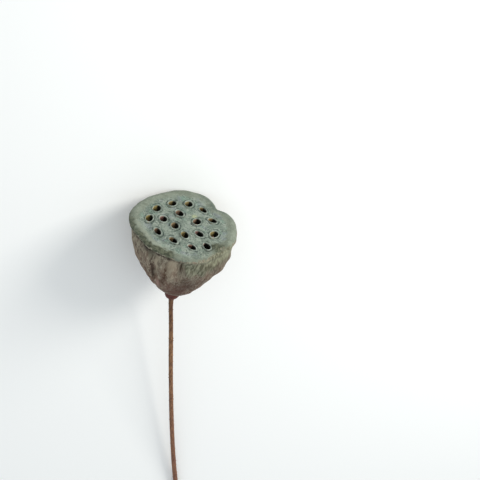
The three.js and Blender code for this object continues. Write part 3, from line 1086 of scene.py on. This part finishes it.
def receptacle_skin():
    """Dry skin of the receptacle. Its face carries a chalky grey-green bloom, mottled and speckled like
    lichen, with painted shade in the groove round each cuff, inside a smoother olive margin with painted
    shade in its dip on the far right, and a lip that is olive and darker by painted shade, with a painted
    highlight on the crest inside it and on its edge. Its wall is bare taupe fibre with rust-brown stains and
    olive lichen under the lip, painted shadow under the lip and painted shade in its furrow, its crease and
    over parts of it, and turns mauve-brown towards the neck. Dull and rough."""
    material, tree, shader = new_material("dried_receptacle_skin")
    on_top = ("bloom", "top", "lip", "crest", "hem_highlight", "dip_shade", "groove", "yellow", "painted_lip_shadow")
    where, zone = read_points(tree, "height_mm", *on_top, *WALL_PATCHES)
    grain = partial(lay_grain, tree, where)
    lay = partial(lay_colour, tree)

    clusters = add_node(
        tree,
        "ShaderNodeMapRange",
        {0: grain(8.0, offset=70), 1: 0.42, 2: 0.56, 3: 0.3, 4: 1.0},
        interpolation_type="SMOOTHSTEP",
    ).outputs[0]
    bloom = lay("#6c786e", "#858f84", grain(6.0), (0.38, 0.62))
    bloom = lay(bloom, "#787c88", grain(8.0, offset=40), (0.54, 0.68), (0, 0.35))
    bloom = lay(bloom, "#6c8d7d", grain(7.0, offset=80), (0.54, 0.68), (0, 0.35))
    bloom = lay(bloom, "#a6ada2", grain(1.5, 5.0, offset=25), (0.55, 0.68), (0, 0.6), clusters)
    bloom = lay(bloom, "#47534c", grain(1.4, 5.0, offset=20), (0.51, 0.64), (0, 0.8), clusters)
    bloom = lay(bloom, "#333d38", grain(1.1, 2.0, offset=60), (0.6, 0.68), (0, 0.8))
    bloom = lay(bloom, "#a9b088", zone["yellow"], (0.1, 0.9), (0, 0.6))
    # painted shade in the groove round each cuff
    bloom = lay(bloom, "#36423d", zone["groove"], (0.1, 0.8), (0, 0.85))

    margin = lay("#6d7568", "#7d8578", grain(6.0, offset=90), (0.35, 0.65))
    margin = lay(margin, "#969d91", grain(1.8, 5.0, offset=97), (0.54, 0.66), (0, 0.35))
    margin = lay(margin, "#515a50", grain(1.4, 4.0, offset=95), (0.56, 0.68), (0, 0.5))
    lip_olive_and_shade = lay("#3b3f31", "#5d614f", grain(2.2, 5.0, offset=44), (0.4, 0.62))
    top = lay(margin, bloom, zone["bloom"])
    # painted shade on the margin's dip
    top = lay(top, "#4f5a53", zone["dip_shade"], (0, 1), (0, 0.7))
    # painted highlight on the crest inside the lip
    top = lay(top, "#8f9486", zone["crest"], (0, 1), (0, 0.45))
    # the lip's olive colour, darkened by painted shade on its down-turned slope
    top = lay(top, lip_olive_and_shade, zone["lip"], (0, 1), (0, 0.95))

    streaks = add_node(
        tree,
        "ShaderNodeMapRange",
        {0: grain(1.8, 4.0, 2.5, 14), 1: 0.38, 2: 0.54, 3: 0.4, 4: 1.0},
        interpolation_type="SMOOTHSTEP",
    ).outputs[0]
    lichen = lay("#595c4a", "#8c8e79", grain(1.7, 5.0, 3.5, 33), (0.42, 0.6))
    fibre = lay("#71594b", "#807968", zone["height_mm"], (20, 62))
    fibre = lay(fibre, "#603f38", zone["height_mm"], (2, 26), (1, 0))
    fibre = lay(fibre, "#9c9584", grain(2.8, 4.0, 4.5, 10), (0.42, 0.62), (0, 0.55))
    fibre = lay(fibre, "#45372d", grain(2.0, 5.0, 4.5, 30), (0.5, 0.66), (0, 0.7))
    fibre = lay(fibre, "#6f5044", grain(9.0, 3.0, 1.6, 50), (0.5, 0.66), (0, 0.4))
    fibre = lay(fibre, "#b7ae9b", grain(1.3, 4.0, 3.5, 12), (0.52, 0.66), (0, 0.5))
    fibre = lay(fibre, "#3d2e24", grain(1.4, 4.0, 3.5, 17), (0.5, 0.64), (0, 0.55))
    fibre = lay(fibre, "#a89b86", zone["pale"])
    fibre = lay(fibre, "#442c1b", zone["rust"], within=streaks)
    fibre = lay(fibre, "#5a3c33", zone["mauve"], (0, 1), (0, 0.75))
    fibre = lay(fibre, "#92706a", zone["blush"], (0, 1), (0, 0.8))
    fibre = lay(fibre, lichen, zone["lichen"], (0.1, 0.8), (0, 0.9))
    # painted shade in the furrow and the crease, at the lip's fold and over parts of the wall
    fibre = lay(fibre, "#2b190e", zone["shade"])
    # painted shadow under the lip
    fibre = lay(fibre, "#221b15", zone["painted_lip_shadow"])

    colour = lay(fibre, top, zone["top"])
    # painted highlight on the lip's edge
    colour = lay(colour, "#a3a491", zone["hem_highlight"], (0.2, 0.9), (0, 0.7))
    colour = lay(colour, "#9c9f86", zone["moss"])
    roughening = {0: grain(0.8, 4.0, offset=5), 1: grain(2.6, 3.0, 3, 15)}
    relief = add_node(tree, "ShaderNodeMath", roughening, operation="ADD").outputs[0]
    finish_shader(tree, shader, colour, relief, strength=0.6, depth=0.5, roughness=0.88, gloss=0.25)
    return material


def socket_lining():
    """Membrane that lines a socket. Its cuff has the face's pale bloom, and its inside is bare, ochre in
    some sockets and pink in others, with painted shade, nearly black on one side and dark brown towards the
    bottom."""
    material, tree, shader = new_material("dried_socket_membrane")
    where, stored = read_points(tree, "depth_mm", "tint", "shaded_side")
    lay = partial(lay_colour, tree)
    fine = lay_grain(tree, where, 10 / 7, 4.0)
    patchy = lay_grain(tree, where, 50 / 11)
    inside = lay("#bbae66", "#a3777a", stored["tint"])
    inside = lay(inside, "#7c6e54", fine)
    # painted shade on the side to the picture's right
    inside = lay(inside, "#0c0e0a", stored["shaded_side"])
    # painted shade deep in the socket
    inside = lay(inside, "#2a1d16", stored["depth_mm"], (5.5, 12.0))
    cuff = lay("#66726a", "#9aa499", patchy, (0.4, 0.6), curve="LINEAR")
    colour = lay(cuff, inside, stored["depth_mm"], (0.0, 0.8))
    finish_shader(tree, shader, colour, fine, strength=0.5, depth=0.4, roughness=0.75, gloss=0.3)
    return material


def nutlet_shell():
    """Hard shell of a dry lotus seed: dark red-brown, faintly waxy, with a pale blunt tip."""
    material, tree, shader = new_material("dry_nutlet_shell")
    where, stored = read_points(tree, "tip")
    mottle = lay_grain(tree, where, 2.0, 5.0)
    shell = lay_colour(tree, "#3a211b", "#6e4233", mottle)
    colour = lay_colour(tree, shell, "#b08d80", stored["tip"])
    finish_shader(tree, shader, colour, mottle, strength=0.3, depth=0.4, roughness=0.5, gloss=0.5)
    return material


def stalk_fibre():
    """Dry stalk: tan-brown fibre with fine lengthwise streaks and darker prickles. The knob above it is
    dark red-brown, blackened in its scars."""
    material, tree, shader = new_material("dry_stalk_fibre")
    where, stored = read_points(tree, "along_mm", "hollow")
    lay = partial(lay_colour, tree)
    along = stored["along_mm"]
    streaks = lay_grain(tree, where, 10 / 13, 4.0, 130 / 9)
    specks = lay_grain(tree, where, 1.25)
    tan = lay("#4d2e20", "#9c754f", streaks, (0.36, 0.64), curve="LINEAR")
    tan = lay(tan, "#774c40", along, (50, 220), (0, 0.55), curve="LINEAR")
    tan = lay(tan, "#3d2a20", specks, (0.58, 0.7), (0, 0.7), curve="LINEAR")
    tan = lay(tan, "#4a3022", along, (15, 75), (0.6, 0), curve="LINEAR")
    knob = lay("#37191a", "#774439", specks)
    colour = lay(knob, tan, along, (11, 15))
    # dark in the knob's scars, and painted shade in the air canals of the cut end
    colour = lay(colour, "#1d1413", stored["hollow"], (0.15, 0.7), (0, 0.85), curve="LINEAR")
    finish_shader(tree, shader, colour, streaks, strength=0.5, depth=0.3, roughness=0.72, gloss=0.35)
    return material


def make_table():
    """The plain pale table top under the pod: matt white lacquer, nearly without gloss."""
    square = ((-1, -1), (1, -1), (1, 1), (-1, 1))
    corners = [(TABLE_HALF_SIDE * x, TABLE_HALF_SIDE * y, TABLE_LEVEL) for x, y in square]
    mesh = bpy.data.meshes.new("table_top")
    mesh.from_pydata(corners, [], [(0, 1, 2, 3)])
    table = bpy.data.objects.new("table_top", mesh)
    bpy.context.collection.objects.link(table)
    material, _, shader = new_material("white_table_lacquer")
    shader.inputs["Base Color"].default_value = linear("#f6f8f8")
    shader.inputs["Roughness"].default_value = 0.9
    shader.inputs["Specular IOR Level"].default_value = 0.1
    mesh.materials.append(material)


def add_light(name, direction, distance, size, power, colour):
    """A soft square light that looks at the middle of the pod's head. direction is given as the camera
    sees it: right, up and towards the viewer."""
    target = (HEAD_TURN @ np.array([0, 0, HEIGHT * 0.6]) + NECK_PLACE) * MM
    towards = CAMERA_TURN @ (np.array(direction) / np.linalg.norm(direction))
    data = bpy.data.lights.new(name, "AREA")
    data.size = size
    data.energy = power
    data.color = linear(colour)[:3]
    light = bpy.data.objects.new(name, data)
    bpy.context.collection.objects.link(light)
    light.location = target + towards * distance
    z_axis = towards
    x_axis = np.cross([0, 0, 1], z_axis)
    x_axis /= np.linalg.norm(x_axis)
    y_axis = np.cross(z_axis, x_axis)
    facing = Matrix(np.column_stack([x_axis, y_axis, z_axis]).tolist())
    light.rotation_euler = facing.to_euler()


def add_world(colour, strength):
    """Even light from all round."""
    world = bpy.data.worlds.new("studio")
    world.use_nodes = True
    background = world.node_tree.nodes["Background"]
    background.inputs["Color"].default_value = linear(colour)
    background.inputs["Strength"].default_value = strength
    bpy.context.scene.world = world


head = make_head()
head.data.materials.append(receptacle_skin())
linings = make_linings()
linings.data.materials.append(socket_lining())
stalk = make_stalk()
stalk.data.materials.append(stalk_fibre())
for piece in (head, linings, stalk):
    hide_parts("pod")

shell_material = nutlet_shell()
for number, socket in enumerate(SOCKETS, start=1):
    seed = make_seed(number, socket)
    seed.data.materials.append(shell_material)
    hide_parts(f"seed_{number:02d}")

make_table()
add_world(colour="#f1f5f7", strength=0.83)
add_light("key", direction=(0.85, 0.3, 0.45), distance=0.9, size=0.4, power=6.0, colour="#fffaf2")
bpy.context.scene.view_settings.view_transform = "Standard"
